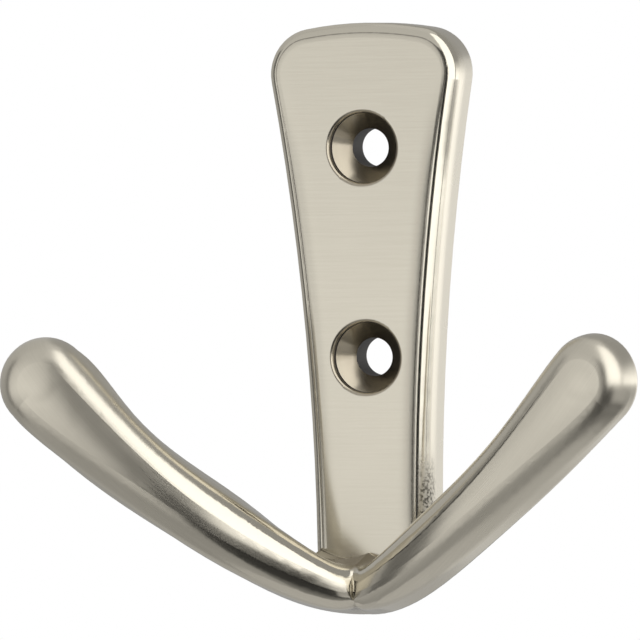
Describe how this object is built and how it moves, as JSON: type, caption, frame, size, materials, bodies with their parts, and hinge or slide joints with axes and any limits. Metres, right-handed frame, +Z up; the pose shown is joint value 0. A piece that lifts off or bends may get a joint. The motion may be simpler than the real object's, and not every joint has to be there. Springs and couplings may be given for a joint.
{
  "type": "double robe hook",
  "caption": "Cast double robe hook: a tapered back plate with countersunk screw holes and two curved arms that spread forward and up to round paddle tips.",
  "frame": {"origin": "on the wall face, midway between the two screw holes", "axes": "+Z up the plate, -Y away from the wall towards the viewer, +X to the viewer's right"},
  "size_m": [0.08, 0.0268, 0.0705],
  "materials": {
    "satin_nickel": "satin brushed nickel plate on cast zinc"
  },
  "bodies": {
    "root": {"robe_hook": "satin_nickel"}
  },
  "joints": []
}
